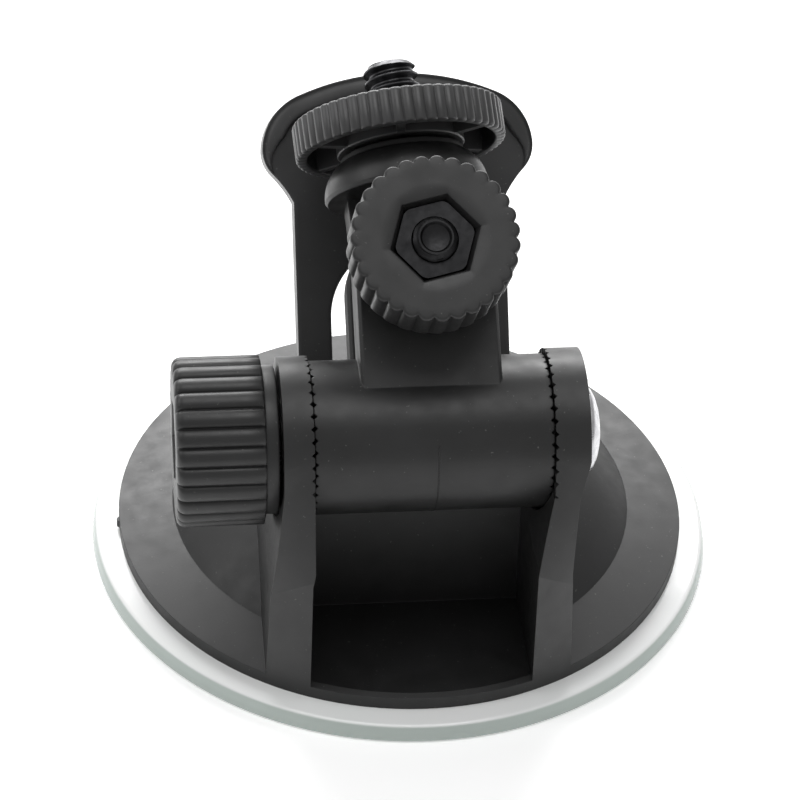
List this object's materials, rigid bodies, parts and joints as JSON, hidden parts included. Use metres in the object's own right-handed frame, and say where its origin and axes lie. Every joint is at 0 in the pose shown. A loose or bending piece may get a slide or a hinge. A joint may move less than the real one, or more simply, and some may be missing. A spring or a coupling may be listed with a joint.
{
  "type": "windscreen suction mount for a camera",
  "caption": "Suction-cup windscreen mount with a cam lever, a serrated tilting arm, two ribbed knobs and a camera screw with a locking disc.",
  "frame": {"origin": "centre of the suction cup's underside, on the surface it stands on", "axes": "+Z away from the glass, +X along the barrel towards its bolt's head, +Y the way the arm and the lever lean"},
  "size_m": [0.075, 0.075, 0.0626],
  "materials": {
    "cup_soft": "clear soft TPU, glossy",
    "housing_black": "fine moulded texture",
    "lever_black": "fine moulded texture",
    "arm_black": "fine moulded texture",
    "knob_black": "satin moulded",
    "stem_nylon": "smooth moulded",
    "zinc_steel": "bright zinc plate",
    "dark_steel": "dark nickel plate"
  },
  "bodies": {
    "base": {"base_housing": "housing_black", "suction_cup": "cup_soft", "barrel_bolt": "zinc_steel"},
    "stem": {"cup_stem": "stem_nylon", "lever_pin": "zinc_steel"},
    "lever": {"lever": "lever_black"},
    "barrel_washer": {"barrel_washer": "zinc_steel"},
    "barrel_knob": {"barrel_knob": "knob_black", "barrel_nut": "zinc_steel"},
    "arm": {"arm": "arm_black", "tilt_bolt": "zinc_steel"},
    "tilt_washer": {"tilt_washer": "zinc_steel"},
    "tilt_knob": {"tilt_knob": "knob_black", "tilt_nut": "zinc_steel"},
    "head": {"head": "arm_black", "camera_screw": "dark_steel"},
    "lock_disc": {"lock_disc": "knob_black", "disc_nut": "dark_steel"}
  },
  "joints": [
    {"name": "stem_lift", "type": "slide", "parent": "base", "child": "stem", "axis": [0, 0, 1], "range_m": [0, 0.00228], "deforming": ["suction_cup"]},
    {"name": "lever_fold", "type": "hinge", "parent": "stem", "child": "lever", "pos_m": [0, 0, 0.017], "axis": [-1, 0, 0], "range_deg": [0, 65]},
    {"name": "arm_tilt", "type": "hinge", "parent": "base", "child": "arm", "pos_m": [0, -0.018, 0.0296], "axis": [1, 0, 0], "range_deg": [0, 150]},
    {"name": "head_tilt", "type": "hinge", "parent": "arm", "child": "head", "pos_m": [0.00045, -0.00408, 0.04101], "axis": [0, -0.6341, 0.7733], "range_deg": [-69.6, 60.4]},
    {"name": "barrel_knob_travel", "type": "slide", "parent": "base", "child": "barrel_washer", "axis": [-1, 0, 0], "range_m": [0, 0.00161]},
    {"name": "barrel_knob_turn", "type": "hinge", "parent": "barrel_washer", "child": "barrel_knob", "pos_m": [0, -0.018, 0.0296], "axis": [-1, 0, 0], "range_deg": [0, 720]},
    {"name": "tilt_knob_travel", "type": "slide", "parent": "arm", "child": "tilt_washer", "axis": [0, -0.6341, 0.7733], "range_m": [0, 0.00161]},
    {"name": "tilt_knob_turn", "type": "hinge", "parent": "tilt_washer", "child": "tilt_knob", "pos_m": [0.00045, -0.00408, 0.04101], "axis": [0, -0.6341, 0.7733], "range_deg": [0, 720]},
    {"name": "lock_disc_spin", "type": "hinge", "parent": "head", "child": "lock_disc", "pos_m": [0.00045, -0.00408, 0.04101], "axis": [-0.0802, 0.7708, 0.632], "range_deg": [0, 720]}
  ],
  "couplings": [
    {"joint": "stem_lift", "follows": "lever_fold", "m_per_rad": 0.002},
    {"joint": "barrel_knob_travel", "follows": "barrel_knob_turn", "m_per_rad": 0.00012732},
    {"joint": "tilt_knob_travel", "follows": "tilt_knob_turn", "m_per_rad": 0.00012732}
  ]
}
